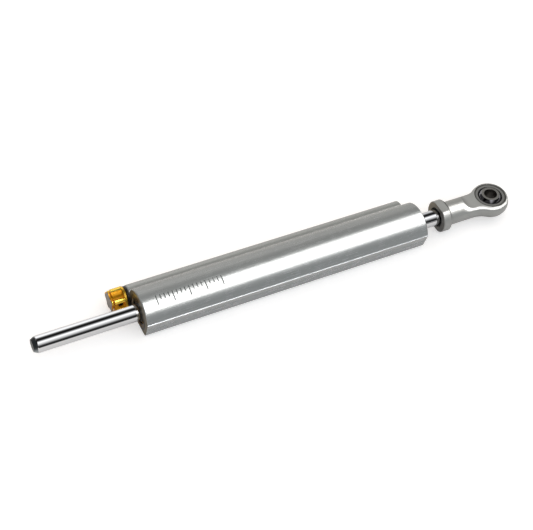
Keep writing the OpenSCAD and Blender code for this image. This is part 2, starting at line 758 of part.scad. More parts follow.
module valve_seat() {
    mouth = 0.8;
    floor_r = seat_ring_r - seat_ring_d / 2 - fit_gap;
    color([0.78, 0.62, 0.30]) at_adjuster() turned([[orifice_d / 2 + mouth, seat_x],
        [side_bore_r - fit_gap, seat_x], [side_bore_r - fit_gap, seat_ring_x - 0.65],
        [floor_r, seat_ring_x - 0.65], [floor_r, seat_ring_x + 0.65],
        [side_bore_r - fit_gap, seat_ring_x + 0.65], [side_bore_r - fit_gap, seat_end],
        [orifice_d / 2, seat_end], [orifice_d / 2, seat_x + mouth]]);
}
module seat_ring_seal() {
    color([0.05, 0.05, 0.06]) at_adjuster() ring_seal(seat_ring_r, seat_ring_d, seat_ring_x);
}

// Points of a coil's centre line about X
function coil_point(r, x0, x1, turns, t) = [x0 + (x1 - x0) * t, r * cos(360 * turns * t), r * sin(360 * turns * t)];
// A coil spring as one tube with six sides
module coil(r, wire, x0, x1, turns) {
    sides = 6;
    steps = 10 * turns;
    w = wire / 2;
    points = [for (i = [0:steps]) for (j = [0:sides - 1])
        let (t = i / steps, a = 360 * turns * t, b = 360 * j / sides, q = r + w * cos(b))
        [x0 + w + (x1 - x0 - wire) * t + w * sin(b), q * cos(a), q * sin(a)]];
    side_faces = [for (i = [0:steps - 1]) for (j = [0:sides - 1])
        let (k = (j + 1) % sides, a = i * sides, b = (i + 1) * sides)
        for (face = [[a + j, b + j, b + k], [a + j, b + k, a + k]]) face];
    start_face = [for (j = [1:sides - 2]) [0, j, j + 1]];
    last = steps * sides;
    end_face = [for (j = [1:sides - 2]) [last, last + j + 1, last + j]];
    polyhedron(points, concat(side_faces, start_face, end_face));
}
module compensator_piston() {
    floor_r = comp_ring_r - comp_ring_d / 2 - fit_gap;
    mid = comp_x + comp_len / 2;
    color([0.66, 0.66, 0.68]) at_reservoir() difference() {
        turned([[0, comp_x], [comp_r, comp_x], [comp_r, mid - 0.65], [floor_r, mid - 0.65],
            [floor_r, mid + 0.65], [comp_r, mid + 0.65], [comp_r, comp_x + comp_len], [0, comp_x + comp_len]]);
        rod_x(1.6, comp_x + comp_len - 2, comp_x + comp_len + over);
    }
}
module compensator_ring_seal() {
    color([0.05, 0.05, 0.06]) at_reservoir() ring_seal(comp_ring_r - 0.02, comp_ring_d, comp_x + comp_len / 2);
}
module compensator_spring() {
    color([0.55, 0.55, 0.58]) at_reservoir()
        coil(side_bore_r - comp_wire_d / 2 - 0.4, comp_wire_d, spring_x, spring_x + comp_spring_len, comp_coils);
}
module reservoir_plug() {
    floor_r = plug_ring_r - plug_ring_d / 2 - fit_gap;
    nose_r = side_bore_r - fit_gap;
    mid = (plug_seat + plug_nose) / 2;
    color([0.40, 0.40, 0.42]) at_reservoir() difference() {
        turned([[0, plug_x], [plug_r - 0.4, plug_x], [plug_r, plug_x + 0.4], [plug_r, plug_seat],
            [nose_r, plug_seat], [nose_r, mid - 0.6], [floor_r, mid - 0.6], [floor_r, mid + 0.6],
            [nose_r, mid + 0.6], [nose_r, plug_nose], [0, plug_nose]]);
        rod_x(socket_flats / 2 / cos(30), plug_x - over, plug_x + 3, $fn = 6);
    }
}
module plug_ring_seal() {
    color([0.05, 0.05, 0.06]) at_reservoir() ring_seal(plug_ring_r, plug_ring_d, (plug_seat + plug_nose) / 2);
}

damper_body();
seal_head_adjuster_end();
seal_head_rod_end();
wiper_adjuster_end();
wiper_rod_end();
rod_seal_adjuster_end();
rod_seal_rod_end();
rod_bush_adjuster_end();
rod_bush_rod_end();
head_ring_seal_adjuster_end();
head_ring_seal_rod_end();
head_snap_ring_adjuster_end();
head_snap_ring_rod_end();
stop_sleeve_adjuster_end();
stop_sleeve_rod_end();
port_plugs();
piston();
piston_band();
piston_band_expander();
piston_bore_ring_seal();
piston_rod();
piston_snap_rings();
rod_end_housing();
rod_end_race();
rod_end_liner();
rod_end_ball();
adjuster_gland();
gland_ring_seal();
adjuster_spindle();
spindle_ring_seal();
spindle_snap_ring();
adjuster_knob();
knob_grub_screw();
click_ball();
click_spring();
needle_valve();
needle_key_pins();
valve_seat();
seat_ring_seal();
compensator_piston();
compensator_ring_seal();
compensator_spring();
reservoir_plug();
plug_ring_seal();
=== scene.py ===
# %% [markdown]
# A motorcycle's steering damper: a satin aluminium cylinder with a chromed rod
# right through it, a side tube with a gold click adjuster, and a spherical rod
# end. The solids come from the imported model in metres, so this lesson gives them
# their finishes, the studio and the camera. The frame is loaded first, because
# every piece is placed and named by it.

# %% Load the frame
import math
import bmesh
import bpy
from mathutils import Matrix, Vector


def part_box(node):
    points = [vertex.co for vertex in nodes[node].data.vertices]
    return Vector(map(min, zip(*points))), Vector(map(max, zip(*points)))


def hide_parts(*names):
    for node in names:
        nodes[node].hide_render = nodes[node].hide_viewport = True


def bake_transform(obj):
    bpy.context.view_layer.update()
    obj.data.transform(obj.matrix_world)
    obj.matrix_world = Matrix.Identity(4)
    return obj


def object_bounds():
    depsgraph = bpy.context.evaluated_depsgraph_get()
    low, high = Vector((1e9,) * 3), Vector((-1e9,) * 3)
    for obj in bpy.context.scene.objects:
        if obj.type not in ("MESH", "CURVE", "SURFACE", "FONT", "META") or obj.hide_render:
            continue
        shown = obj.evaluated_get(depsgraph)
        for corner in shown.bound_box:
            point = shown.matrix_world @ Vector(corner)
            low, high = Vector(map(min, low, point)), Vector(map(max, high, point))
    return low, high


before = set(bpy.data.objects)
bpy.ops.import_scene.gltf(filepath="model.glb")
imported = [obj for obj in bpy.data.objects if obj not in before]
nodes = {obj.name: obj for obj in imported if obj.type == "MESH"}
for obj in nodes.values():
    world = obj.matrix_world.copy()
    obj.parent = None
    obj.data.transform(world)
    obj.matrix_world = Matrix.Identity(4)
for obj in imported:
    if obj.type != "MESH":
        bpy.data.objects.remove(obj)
cad_low, cad_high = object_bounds()
print("solids:", len(nodes), "box in mm:", [round(v * 1000, 1) for v in cad_high - cad_low])

# %% [markdown]
# Places that the finishes need: the rod's axis, the side tube's axis, the middle
# of the eye, and the axis of the barrel's round wall, which lies a little in front
# of the rod and below it. They are read off the solids' boxes, so that they follow
# the model and aren't typed in twice.

# %% Find the axes
BARREL_FORWARD = 0.0008
BARREL_BELOW = 0.0006


def middle(node):
    low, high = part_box(node)
    return (low + high) / 2


rod_axis = middle("piston")
side_axis = middle("valve_seat")
eye_centre = middle("rod_end_ball")
body_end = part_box("damper_body")[1].x
barrel_axis = Vector((0, rod_axis.y - BARREL_FORWARD, rod_axis.z - BARREL_BELOW))
print("rod axis z", round(rod_axis.z, 4), "side axis", round(side_axis.y, 4), round(side_axis.z, 5))

# %% [markdown]
# The camera stands where the photographer stood: in front of the damper, to the
# left of it and well above, with a long lens and a slight roll. Its direction is
# given by two angles, and the roll turns the picture about the view.

# %% Camera
VIEW_DOWN = 0.8320
VIEW_TURN = 0.5188
VIEW_ROLL = 0.0921
LENS_PIXELS = 1286.6
IMAGE_WIDTH = 533
SENSOR = 36.0
CAMERA_PLACE = Vector((-0.26102, -0.43841, 0.56930))

look = Vector((math.cos(VIEW_DOWN) * math.sin(VIEW_TURN),
               math.cos(VIEW_DOWN) * math.cos(VIEW_TURN),
               -math.sin(VIEW_DOWN)))
level = Vector((math.cos(VIEW_TURN), -math.sin(VIEW_TURN), 0))
rise = level.cross(look)
right = math.cos(VIEW_ROLL) * level + math.sin(VIEW_ROLL) * rise
up = math.cos(VIEW_ROLL) * rise - math.sin(VIEW_ROLL) * level
camera_data = bpy.data.cameras.new("camera")
camera_data.sensor_width = SENSOR
camera_data.lens = SENSOR * LENS_PIXELS / IMAGE_WIDTH
camera = bpy.data.objects.new("camera", camera_data)
turn = Matrix((right, up, -look)).transposed()
camera.matrix_world = Matrix.Translation(CAMERA_PLACE) @ turn.to_4x4()
bpy.context.scene.collection.objects.link(camera)
bpy.context.scene.camera = camera
print("lens", round(camera_data.lens, 2), "mm")

# %% [markdown]
# A node tree is easier to read when each node is made in one line. `plug` fills
# one input: a socket becomes a link, and a value stays a value, with the alpha of
# a colour added. `add` makes a node, sets its properties and plugs in its inputs.

# %% Node helpers
def plug(tree, value, socket):
    if isinstance(value, bpy.types.NodeSocket):
        tree.links.new(value, socket)
    elif socket.type == "RGBA":
        socket.default_value = (*value, 1)
    else:
        socket.default_value = value


def add(tree, kind, inputs=None, **properties):
    made = tree.nodes.new(kind)
    for name, value in properties.items():
        setattr(made, name, value)
    for key, value in (inputs or {}).items():
        plug(tree, value, made.inputs[key])
    return made


def coordinates(tree, place):
    return add(tree, "ShaderNodeSeparateXYZ", {0: place}).outputs


def noise(tree, place, scale, detail, roughness=0.5, **properties):
    inputs = {"Vector": place, "Scale": scale, "Detail": detail, "Roughness": roughness}
    return add(tree, "ShaderNodeTexNoise", inputs, **properties).outputs["Fac"]


# %% [markdown]
# Most of a finish is told by masks, numbers from 0 to 1 over the surface. These
# helpers name the sums that masks need, so that a line of a finish says what it
# means: several masks at once, all but the mask, or a soft band round a value.
# Noise lies mostly between 0.3 and 0.7, so `spread` takes that span to the least
# and the most that a finish asks for.

# %% Mask helpers
NOISE_LEAST = 0.3
NOISE_MOST = 0.7


def maths(tree, operation, a, b=0.0, c=0.0):
    return add(tree, "ShaderNodeMath", {0: a, 1: b, 2: c}, operation=operation).outputs[0]


def product(tree, *masks):
    made = masks[0]
    for mask in masks[1:]:
        made = maths(tree, "MULTIPLY", made, mask)
    return made


def below(tree, value, limit):
    return maths(tree, "LESS_THAN", value, limit)


def above(tree, value, limit):
    return maths(tree, "GREATER_THAN", value, limit)


def opposite(tree, mask):
    return maths(tree, "SUBTRACT", 1.0, mask)


def raised(tree, base, mask, by):
    """The base, raised by that much where the mask is 1."""
    return maths(tree, "MULTIPLY_ADD", mask, by, base)


def apart(tree, value, centre):
    return maths(tree, "ABSOLUTE", maths(tree, "SUBTRACT", value, centre))


def remap(tree, value, low, high, to_low=0.0, to_high=1.0):
    inputs = {0: value, 1: low, 2: high, 3: to_low, 4: to_high}
    return add(tree, "ShaderNodeMapRange", inputs, interpolation_type="SMOOTHSTEP").outputs[0]


def spread(tree, pattern, least, most):
    return remap(tree, pattern, NOISE_LEAST, NOISE_MOST, least, most)


def band(tree, value, centre, inner, outer, most=1.0):
    """The most within `inner` of the centre, and nothing past `outer`."""
    return remap(tree, apart(tree, value, centre), inner, outer, most, 0.0)


# %% [markdown]
# Colours are mixed by masks too. `painted` lays one colour after another over a
# base, as a painter masks and sprays, and `colour_ramp` sets a row of colours
# along a value.

# %% Colour helpers
def mix_colours(tree, mask, first, second):
    return add(tree, "ShaderNodeMix", {0: mask, 6: first, 7: second}, data_type="RGBA").outputs[2]


def painted(tree, base, *coats):
    for mask, colour in coats:
        base = mix_colours(tree, mask, base, colour)
    return base


def colour_ramp(tree, value, stops):
    made = add(tree, "ShaderNodeValToRGB", {0: value})
    elements = made.color_ramp.elements
    while len(elements) < len(stops):
        elements.new(0.5)
    for element, (position, colour) in zip(elements, stops):
        element.position = position
        element.color = (*colour, 1)
    return made.outputs[0]


# %% [markdown]
# An effect that several materials share is a node group, built once and placed in
# each of them with its own values.

# %% Group helpers
FLOAT = "NodeSocketFloat"
VECTOR = "NodeSocketVector"


def new_group(name, inputs, outputs):
    group = bpy.data.node_groups.new(name, "ShaderNodeTree")
    for socket, kind, value in inputs:
        made = group.interface.new_socket(socket, in_out="INPUT", socket_type=kind)
        if value is not None:
            made.default_value = value
    for socket, kind in outputs:
        group.interface.new_socket(socket, in_out="OUTPUT", socket_type=kind)
    entry = group.nodes.new("NodeGroupInput")
    leave = group.nodes.new("NodeGroupOutput")
    return group, entry.outputs, leave.inputs


def place_group(tree, group, **inputs):
    made = tree.nodes.new("ShaderNodeGroup")
    made.node_tree = group
    for name, value in inputs.items():
        plug(tree, value, made.inputs[name.replace("_", " ")])
    return made.outputs


# %% [markdown]
# Drawn or ground metal has fine lines that all run one way. Noise that is
# squeezed across the lines and stretched along them gives such a grain. The group
# serves the extruded body and the spring steel.

# %% Grain group
CLOUDS_PER_METRE = 60.0

grain, ins, outs = new_group(
    "line_grain",
    [("Place", VECTOR, None), ("Lines per metre", FLOAT, 4000.0), ("Length ratio", FLOAT, 60.0)],
    [("Grain", FLOAT), ("Cloud", FLOAT)])
shorter = maths(grain, "DIVIDE", 1.0, ins["Length ratio"])
stretch = add(grain, "ShaderNodeCombineXYZ", {0: shorter, 1: 1.0, 2: 1.0}).outputs[0]
squeezed = add(grain, "ShaderNodeVectorMath", {0: ins["Place"], 1: stretch}, operation="MULTIPLY").outputs[0]
grain.links.new(noise(grain, squeezed, ins["Lines per metre"], detail=3.0), outs["Grain"])
grain.links.new(noise(grain, ins["Place"], CLOUDS_PER_METRE, detail=4.0), outs["Cloud"])
print(grain.name, "has", len(grain.nodes), "nodes")

# %% [markdown]
# A turned face keeps the spiral of the tool as fine rings about its axis. The
# group measures the distance from the axis and lays noise on it. Its Place input
# is already centred, with the axis along X.

# %% Turning group
turning, ins, outs = new_group(
    "turned_rings",
    [("Place", VECTOR, None), ("Rings per metre", FLOAT, 5000.0)],
    [("Rings", FLOAT), ("Radius", FLOAT)])
x, y, z = coordinates(turning, ins["Place"])
squares = maths(turning, "ADD", maths(turning, "POWER", y, 2.0), maths(turning, "POWER", z, 2.0))
radius = maths(turning, "SQRT", squares)
unrolled = add(turning, "ShaderNodeCombineXYZ", {0: x, 1: radius, 2: 0.0}).outputs[0]
rings = noise(turning, unrolled, ins["Rings per metre"], detail=2.0, noise_dimensions="2D")
turning.links.new(rings, outs["Rings"])
turning.links.new(radius, outs["Radius"])
print(turning.name, "has", len(turning.nodes), "nodes")

# %% [markdown]
# Handling leaves hairline scratches in every direction and faint smudges. Two
# thin bands of stretched noise, turned against each other, make the hairlines.

# %% Handling group
HAIR_TURNS = (0.5, 1.9)
HAIR_TILT = 0.3
HAIR_SCALE = (90.0, 2600.0, 2600.0)
HAIR_FROM = 0.66
HAIR_FULL = 0.72
SMUDGES_PER_METRE = 110.0
SMUDGE_FROM = 0.35
SMUDGE_FULL = 0.75

handling, ins, outs = new_group(
    "handling_marks",
    [("Place", VECTOR, None), ("Amount", FLOAT, 0.5)],
    [("Scratches", FLOAT), ("Smudges", FLOAT)])
hairs = []
for turned_by in HAIR_TURNS:
    rolled = add(handling, "ShaderNodeMapping", {
        "Vector": ins["Place"],
        "Rotation": (turned_by, HAIR_TILT, turned_by),
        "Scale": HAIR_SCALE}).outputs[0]
    streaks = noise(handling, rolled, scale=1.0, detail=1.0)
    hairs.append(remap(handling, streaks, HAIR_FROM, HAIR_FULL))
scratches = product(handling, maths(handling, "MAXIMUM", *hairs), ins["Amount"])
smudges = noise(handling, ins["Place"], SMUDGES_PER_METRE, detail=5.0, roughness=0.6)
handling.links.new(scratches, outs["Scratches"])
handling.links.new(remap(handling, smudges, SMUDGE_FROM, SMUDGE_FULL), outs["Smudges"])
print(handling.name, "has", len(handling.nodes), "nodes")

# %% [markdown]
# Every finish here starts from the Principled BSDF with the object's own
# coordinates. `start` makes a material with both, `turned_about` lays the rings
# about an axis, `feed` links what was made to the shader, and `finish` gives the
# material to solids.

# %% Material helpers
finished = set()


def start(name, colour, metallic, roughness, **plain):
    material = bpy.data.materials.new(name)
    material.use_nodes = True
    tree = material.node_tree
    shader = tree.nodes["Principled BSDF"]
    plug(tree, colour, shader.inputs["Base Color"])
    plug(tree, metallic, shader.inputs["Metallic"])
    plug(tree, roughness, shader.inputs["Roughness"])
    for key, value in plain.items():
        plug(tree, value, shader.inputs[key.replace("_", " ")])
    place = tree.nodes.new("ShaderNodeTexCoord").outputs["Object"]
    return material, tree, shader, place


def turned_about(tree, place, axis, rings_per_metre, turned=(0, 0, 0)):
    about = add(tree, "ShaderNodeVectorMath", {0: place, 1: tuple(axis)}, operation="SUBTRACT").outputs[0]
    if any(turned):
        about = add(tree, "ShaderNodeMapping", {"Vector": about, "Rotation": turned}).outputs[0]
    return place_group(tree, turning, Place=about, Rings_per_metre=rings_per_metre)


def feed(tree, shader, **sockets):
    for name, socket in sockets.items():
        tree.links.new(socket, shader.inputs[name.replace("_", " ")])


def finish(material, *names):
    for name in names:
        slots = nodes[name].data.materials
        slots.clear()
        slots.append(material)
        nodes[name].active_material = material
        finished.add(name)
    print(material.name, "is on", ", ".join(names))


# %% [markdown]
# A real edge is never sharp. A Bevel node rounds the normal near each edge, which
# costs no faces, and a Bump node lays the fine relief on top. An edge that is
# rounder still has its normal tipped up by `lift`, along the object's own Z.

# %% Bump helpers
BEVEL_SAMPLES = 10


def lifted(tree, normal, lift):
    upwards = add(tree, "ShaderNodeVectorTransform", {0: (0, 0, 1)}, vector_type="VECTOR",
                  convert_from="OBJECT", convert_to="WORLD").outputs[0]
    upwards = add(tree, "ShaderNodeVectorMath", {0: upwards, 3: lift}, operation="SCALE").outputs[0]
    tipped = add(tree, "ShaderNodeVectorMath", {0: normal, 1: upwards}, operation="ADD").outputs[0]
    return add(tree, "ShaderNodeVectorMath", {0: tipped}, operation="NORMALIZE").outputs[0]


def bump(tree, shader, height, depth, rounding=None, lift=None):
    made = add(tree, "ShaderNodeBump", {"Height": height, "Distance": depth, "Strength": 1.0})
    if rounding is not None:
        normal = add(tree, "ShaderNodeBevel", {"Radius": rounding}, samples=BEVEL_SAMPLES).outputs[0]
        if lift is not None:
            normal = lifted(tree, normal, lift)
        tree.links.new(normal, made.inputs["Normal"])
    tree.links.new(made.outputs[0], shader.inputs["Normal"])


# %% [markdown]
# The barrel has a plain row of tick marks near the adjuster's end. Marks this
# fine could be cut into the solid, but they are etched, so a mask is truer: the
# distance along the body gives the row, the angle round the barrel gives each
# mark's length, and each fourth mark is longer.

# %% Tick marks
TICK_PITCH = 0.0025
TICK_FIRST = -0.082
TICK_LAST = -0.042
TICK_INNER = 0.00027
TICK_OUTER = 0.00037
TICK_START_ANGLE = 1.74
TICK_END_ANGLE = 1.96
LONG_TICK_ANGLE = 0.20
LONG_TICK_EVERY = 4.0
HALF_STEP = 0.5


def tick_marks(tree, along, angle):
    steps = maths(tree, "DIVIDE", maths(tree, "SUBTRACT", along, TICK_FIRST), TICK_PITCH)
    nearest = maths(tree, "ROUND", steps)
    off_mark = product(tree, apart(tree, steps, nearest), TICK_PITCH)
    since_long = maths(tree, "MODULO", maths(tree, "ADD", nearest, HALF_STEP), LONG_TICK_EVERY)
    is_long = below(tree, apart(tree, since_long, HALF_STEP), HALF_STEP / 2)
    end_angle = raised(tree, TICK_END_ANGLE, is_long, LONG_TICK_ANGLE)
    return product(
        tree,
        above(tree, along, TICK_FIRST - TICK_PITCH / 4),
        below(tree, along, TICK_LAST + TICK_PITCH / 4),
        above(tree, angle, TICK_START_ANGLE),
        below(tree, angle, end_angle),
        remap(tree, off_mark, TICK_INNER, TICK_OUTER, 1.0, 0.0))


print("tick marks:", round((TICK_LAST - TICK_FIRST) / TICK_PITCH) + 1)

# %% [markdown]
# The body is extruded aluminium, drawn lengthwise and anodised satin. The solid is
# one mesh, so its faces are told apart by their coordinates: the two cut ends, the
# wall of the bore, the flat facet in front, the side tube behind, and the thin
# rounded edge between the barrel and the facet.

# %% Faces of the body
EDGE_ABOVE_AXIS = 0.00448
EDGE_LINE_DROP = 0.00052
EDGE_LINE_INNER = 0.0003
EDGE_LINE_OUTER = 0.00085
EDGE_LINE_FRONT = -0.013
FACET_FRONT = -0.0135
FACET_FULL_DROP = 0.0010
FACET_END_DROP = 0.0001
SIDE_TUBE_FROM = 0.0095
SIDE_TUBE_FULL = 0.0105
BORE_RADIUS = 0.0085
ON_FACE = 0.0001
SATIN_METAL = 0.30

satin, tree, shader, place = start(
    "satin_anodised_body", (0.33, 0.33, 0.32), metallic=SATIN_METAL, roughness=0.24)
x, y, z = coordinates(tree, place)
above_axis = maths(tree, "SUBTRACT", z, barrel_axis.z)
behind_axis = maths(tree, "SUBTRACT", y, barrel_axis.y)
ticks = tick_marks(tree, x, maths(tree, "ARCTAN2", above_axis, behind_axis))
rings = turned_about(tree, place, rod_axis, rings_per_metre=4000.0)
end_plane = above(tree, maths(tree, "ABSOLUTE", x), body_end - ON_FACE)
cut_end = maths(tree, "MAXIMUM", end_plane, below(tree, rings["Radius"], BORE_RADIUS))
drawn = opposite(tree, cut_end)
edge_height = barrel_axis.z + EDGE_ABOVE_AXIS
# The edge line is painted lighter as a painted highlight, and its normal is tipped up.
edge_highlight_line = product(
    tree,
    band(tree, z, edge_height - EDGE_LINE_DROP, EDGE_LINE_INNER, EDGE_LINE_OUTER),
    opposite(tree, end_plane),
    below(tree, y, EDGE_LINE_FRONT))
# The facet is painted lighter, as painted light.
facet_painted_light = product(
    tree,
    remap(tree, z, edge_height - FACET_FULL_DROP, edge_height - FACET_END_DROP, 1.0, 0.0),
    below(tree, y, FACET_FRONT),
    drawn)
# The side tube is painted lighter, as painted light.
side_tube_painted_light = product(tree, remap(tree, y, SIDE_TUBE_FROM, SIDE_TUBE_FULL), drawn)
print("the edge line is at", round((edge_height - EDGE_LINE_DROP) * 1000, 2), "mm")

# %% [markdown]
# The cut ends are bare and duller. Round the rod they show brown and olive rings, so the distance from the
# rod's axis picks the colour from a ramp. The rest is nearly one grey. The facet and the side tube are
# painted a little lighter, as painted light, and the thin edge line between the barrel and the facet is
# painted much lighter, as a painted highlight.

# %% Colours of the body
RAMP_PER_METRE = 50.0
END_TONES = [
    (0.0084, (0.19, 0.11, 0.03)),
    (0.0090, (0.12, 0.08, 0.035)),
    (0.0096, (0.035, 0.028, 0.02)),
    (0.0104, (0.04, 0.034, 0.026)),
    (0.0110, (0.16, 0.13, 0.085)),
    (0.0144, (0.145, 0.125, 0.09)),
    (0.0149, (0.20, 0.20, 0.19)),
    (0.0160, (0.21, 0.205, 0.19))]
SATIN_DARK = (0.315, 0.318, 0.312)
SATIN_LIGHT = (0.345, 0.347, 0.338)
TICK_COLOUR = (0.10, 0.105, 0.10)
# Painted light: the facet and the side tube are painted lighter than the satin.
FACET_PAINTED_LIGHT = (0.40, 0.39, 0.375)
SIDE_TUBE_PAINTED_LIGHT = (0.395, 0.395, 0.38)
# Painted highlight: the thin edge line is painted much lighter.
EDGE_PAINTED_HIGHLIGHT = (0.50, 0.51, 0.52)

lines = place_group(tree, grain, Place=place, Lines_per_metre=5200.0, Length_ratio=90.0)
end_tone = colour_ramp(tree, product(tree, rings["Radius"], RAMP_PER_METRE),
                       [(radius * RAMP_PER_METRE, colour) for radius, colour in END_TONES])
# The facet and side tube coats are painted light, and the edge line coat is a painted highlight.
toned = painted(
    tree, mix_colours(tree, lines["Cloud"], SATIN_DARK, SATIN_LIGHT),
    (cut_end, end_tone),
    (ticks, TICK_COLOUR),
    (facet_painted_light, FACET_PAINTED_LIGHT),
    (side_tube_painted_light, SIDE_TUBE_PAINTED_LIGHT),
    (edge_highlight_line, EDGE_PAINTED_HIGHLIGHT))
feed(tree, shader, Base_Color=toned)
print("the end face has", len(END_TONES), "tones")

# %% [markdown]
# Anodising keeps the drawn lines, so they show in the roughness and the relief.
# The etched ticks are matt and don't shine like metal. The edge line's normal is
# tipped up, so that it catches the light as a rounded edge does.

# %% Shine of the body
EDGE_LINE_LIFT = 1.38
GRAIN_SHARE = 0.25
SATIN_GLOSS = 0.5
MATT_GLOSS = 0.1

marks = place_group(tree, handling, Place=place, Amount=0.35)
rough = spread(tree, lines["Grain"], 0.21, 0.27)
rough = raised(tree, rough, marks["Smudges"], by=0.03)
rough = raised(tree, rough, ticks, by=0.2)
rough = raised(tree, rough, cut_end, by=0.1)
metal = raised(tree, SATIN_METAL, ticks, by=-SATIN_METAL)
matt_parts = maths(tree, "MAXIMUM", ticks, end_plane)
gloss = raised(tree, SATIN_GLOSS, matt_parts, by=MATT_GLOSS - SATIN_GLOSS)
feed(tree, shader, Roughness=rough, Metallic=metal, Specular_IOR_Level=gloss)
relief = maths(tree, "SUBTRACT", product(tree, lines["Grain"], GRAIN_SHARE), marks["Scratches"])
relief = maths(tree, "SUBTRACT", relief, ticks)
lift = product(tree, edge_highlight_line, EDGE_LINE_LIFT)
bump(tree, shader, relief, depth=0.000006, rounding=0.0004, lift=lift)
finish(satin, "damper_body")

# %% [markdown]
# The rod is ground and hard chromed, close to a mirror. Its grinding lines run round it, so the turning group
# is used along X. The tip is bare dark steel, and its low front side is painted paler, as a painted
# reflection of the floor.

# %% Rod finish
CHROME = (0.84, 0.845, 0.86)
TIP_DARK = (0.025, 0.028, 0.03)
# Painted reflection: the tip's low front side is painted pale, as the floor's reflection.
TIP_PAINTED_REFLECTION = (0.30, 0.315, 0.32)
TIP_LENGTH = 0.0021
TIP_REFLECTION_UP_TO = -0.0055
TIP_REFLECTION_FADE = 0.0035
POLISH = 0.015

chrome, tree, shader, place = start("hard_chrome", CHROME, metallic=1.0, roughness=0.04)
x, y, z = coordinates(tree, place)
rings = turned_about(tree, place, rod_axis, rings_per_metre=2500.0)
marks = place_group(tree, handling, Place=place, Amount=0.2)
tip = below(tree, x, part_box("piston_rod")[0].x + TIP_LENGTH)
# Below this height the tip is painted pale, as a painted reflection of the floor.
floor_reflection_edge = rod_axis.y + rod_axis.z + TIP_REFLECTION_UP_TO
past_painted_reflection = remap(tree, maths(tree, "ADD", y, z), floor_reflection_edge, floor_reflection_edge + TIP_REFLECTION_FADE)
tip_with_painted_reflection = mix_colours(tree, past_painted_reflection, TIP_PAINTED_REFLECTION, TIP_DARK)
toned = mix_colours(tree, tip, CHROME, tip_with_painted_reflection)
metal = raised(tree, 1.0, tip, by=-0.7)
rough = raised(tree, POLISH, marks["Smudges"], by=0.02)
rough = raised(tree, rough, tip, by=0.35)
feed(tree, shader, Base_Color=toned, Metallic=metal, Roughness=rough)
relief = maths(tree, "SUBTRACT", rings["Rings"], marks["Scratches"])
bump(tree, shader, relief, depth=0.0000006, rounding=0.0001)
finish(chrome, "piston_rod")

# %% [markdown]
# The rod end is forged steel with a satin plating. The collar's face towards the body is turned and left
# duller and browner, and it is painted darker towards the front and lighter towards the back, as painted
# shade. The recess round the rod, a thin line in the crease at the collar's back and the scoops of the neck
# are painted dark, as painted shade.

# %% Colours of the rod end
PLATING_DARK = (0.32, 0.313, 0.297)
PLATING_LIGHT = (0.36, 0.353, 0.335)
# Painted shade: the collar's face is painted darker at the front and lighter at the back.
FACE_FRONT_PAINTED_SHADE = (0.14, 0.135, 0.125)
FACE_REAR_PAINTED_LIGHT = (0.26, 0.225, 0.17)
# Painted shade in the scoops of the neck.
SCOOP_PAINTED_SHADE = (0.16, 0.155, 0.145)
# Painted shade in the crease at the collar's back.
CREASE_PAINTED_SHADE = (0.06, 0.058, 0.053)
# Painted shade in the recess round the rod.
RECESS_PAINTED_SHADE = (0.07, 0.072, 0.066)
FACE_FRONT_Y = -0.006
FACE_REAR_Y = 0.009
RECESS_RADIUS = 0.00625
RECESS_DEPTH = 0.003
COLLAR_LINE = 0.0057
LINE_INNER = 0.0002
LINE_OUTER = 0.0005
LINE_SHADE = 0.9
SCOOP_RADIUS = 0.0072
SCOOP_FULL_TO_EYE = 0.0205
SCOOP_END_TO_EYE = 0.0145
SCOOP_SHADE = 0.8

plated, tree, shader, place = start(
    "satin_plated_steel", (0.34, 0.333, 0.315), metallic=0.30, roughness=0.28)
x, y, z = coordinates(tree, place)
rings = turned_about(tree, place, rod_axis, rings_per_metre=4200.0)
shading = noise(tree, place, scale=130.0, detail=4.0)
collar_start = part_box("rod_end_housing")[0].x
collar_face = below(tree, x, collar_start + ON_FACE / 2)
# A thin dark line in the crease at the collar's back, as painted shade.
collar_crease_shade = band(tree, x, collar_start + COLLAR_LINE, LINE_INNER, LINE_OUTER, LINE_SHADE)
# The recess round the rod is painted dark, as painted shade.
recess_painted_shade = product(tree, below(tree, rings["Radius"], RECESS_RADIUS),
                 below(tree, x, collar_start + RECESS_DEPTH))
scoop_full = eye_centre.x - SCOOP_FULL_TO_EYE
scoop_end = eye_centre.x - SCOOP_END_TO_EYE
# The scoops are painted darker, as painted shade.
scoop_painted_shade = product(tree, below(tree, rings["Radius"], SCOOP_RADIUS),
                remap(tree, x, scoop_full, scoop_end, SCOOP_SHADE, 0.0))
# The collar's face gets painted shade towards the front.
face_tone_with_painted_shade = mix_colours(tree, remap(tree, y, FACE_FRONT_Y, FACE_REAR_Y), FACE_FRONT_PAINTED_SHADE, FACE_REAR_PAINTED_LIGHT)
toned = painted(
    tree, mix_colours(tree, shading, PLATING_DARK, PLATING_LIGHT),
    (scoop_painted_shade, SCOOP_PAINTED_SHADE),
    (collar_crease_shade, CREASE_PAINTED_SHADE),
    (collar_face, face_tone_with_painted_shade),
    (recess_painted_shade, RECESS_PAINTED_SHADE))
feed(tree, shader, Base_Color=toned)
print("the collar starts at", round(collar_start * 1000, 2), "mm")

# %% [markdown]
# Forging and plating soften every edge, most of all round the eye. Its front rim
# is rounder than the solid's, so the normal is tipped up above the eye's middle
# and down below it, more and more towards the rim. That fades out along the neck,
# at the far end and at the back.

# %% Shine of the rod end
PLATING_ROUGHNESS = 0.29
RIM_FROM = 0.0019
RIM_FULL = 0.0047
RIM_POWER = 1.7
RIM_LIFT = 2.6
RIM_STARTS = -0.0235
RIM_RISEN = -0.0130
RIM_FALLS = 0.0075
RIM_FALLEN = 0.0115
RIM_LEFT_AT_FAR_END = 0.3
RIM_LEFT_AT_BACK = 0.2
BACK_FROM = -0.001
BACK_FULL = 0.006
FRONT_ROUNDING = 0.0008
BACK_ROUNDING = 0.0001
BACK_ROUNDING_Y = 0.007

